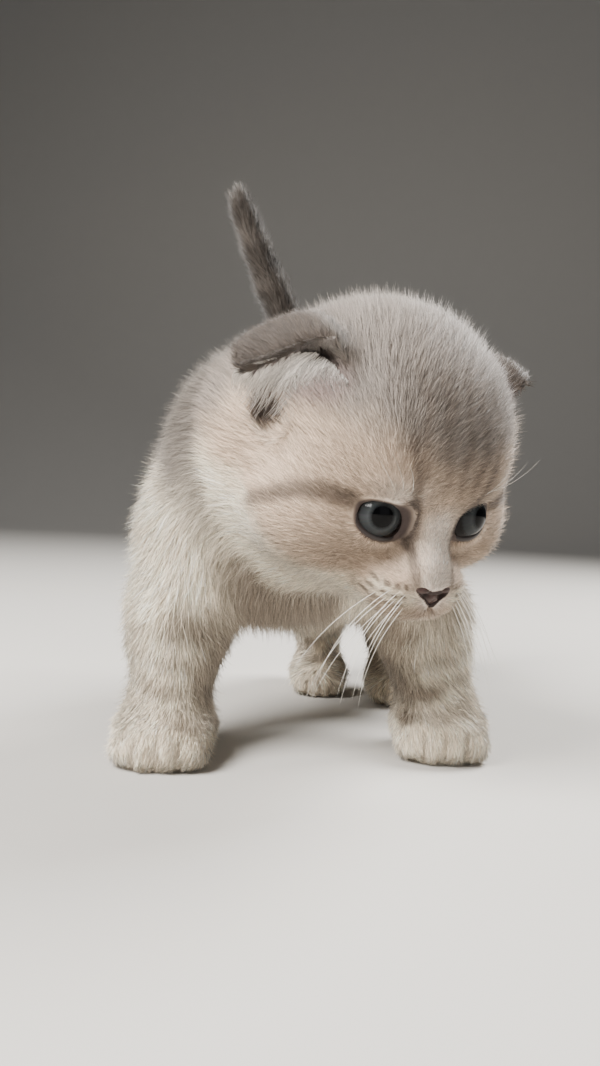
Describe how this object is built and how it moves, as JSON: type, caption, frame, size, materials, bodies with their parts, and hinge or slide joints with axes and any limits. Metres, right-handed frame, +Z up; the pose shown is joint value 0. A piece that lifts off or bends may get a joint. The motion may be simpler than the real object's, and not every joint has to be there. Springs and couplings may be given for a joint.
{
  "type": "scottish fold kitten",
  "caption": "Life-size still model of a young folded-ear kitten standing with its head low and its tail up.",
  "frame": {"origin": "on the floor, under the middle of the kitten's box", "axes": "+Z up, -Y the way the body walks, +X to the kitten's own left"},
  "size_m": [0.102, 0.1634, 0.1845],
  "materials": {
    "crown_coat": "short grey-lilac fur on the crown",
    "face_coat": "short beige fur on the muzzle and chin",
    "ear_coat": "very short grey-brown fur",
    "cream_coat": "fluffy cream fur",
    "leg_coat": "short banded cream and beige fur",
    "tail_coat": "dark grey-brown fur, faintly ringed",
    "nose_leather": "bare, fine-grained and slightly moist",
    "eye": "wet and clear, grey-blue iris, wide pupil"
  },
  "bodies": {
    "root": {"head": "crown_coat", "muzzle": "face_coat", "lower_jaw": "face_coat", "nose": "nose_leather", "eye_right": "eye", "eye_left": "eye", "ear_right": "ear_coat", "ear_left": "ear_coat", "neck": "cream_coat", "chest": "cream_coat", "loin": "cream_coat", "upper_arm_right": "cream_coat", "upper_arm_left": "cream_coat", "forearm_right": "leg_coat", "forearm_left": "leg_coat", "forefoot_right": "leg_coat", "forefoot_left": "leg_coat", "thigh_right": "leg_coat", "thigh_left": "leg_coat", "shank_right": "leg_coat", "shank_left": "leg_coat", "hindfoot_right": "leg_coat", "hindfoot_left": "leg_coat", "tail_root": "tail_coat", "tail_middle": "tail_coat", "tail_tip": "tail_coat"}
  },
  "joints": []
}
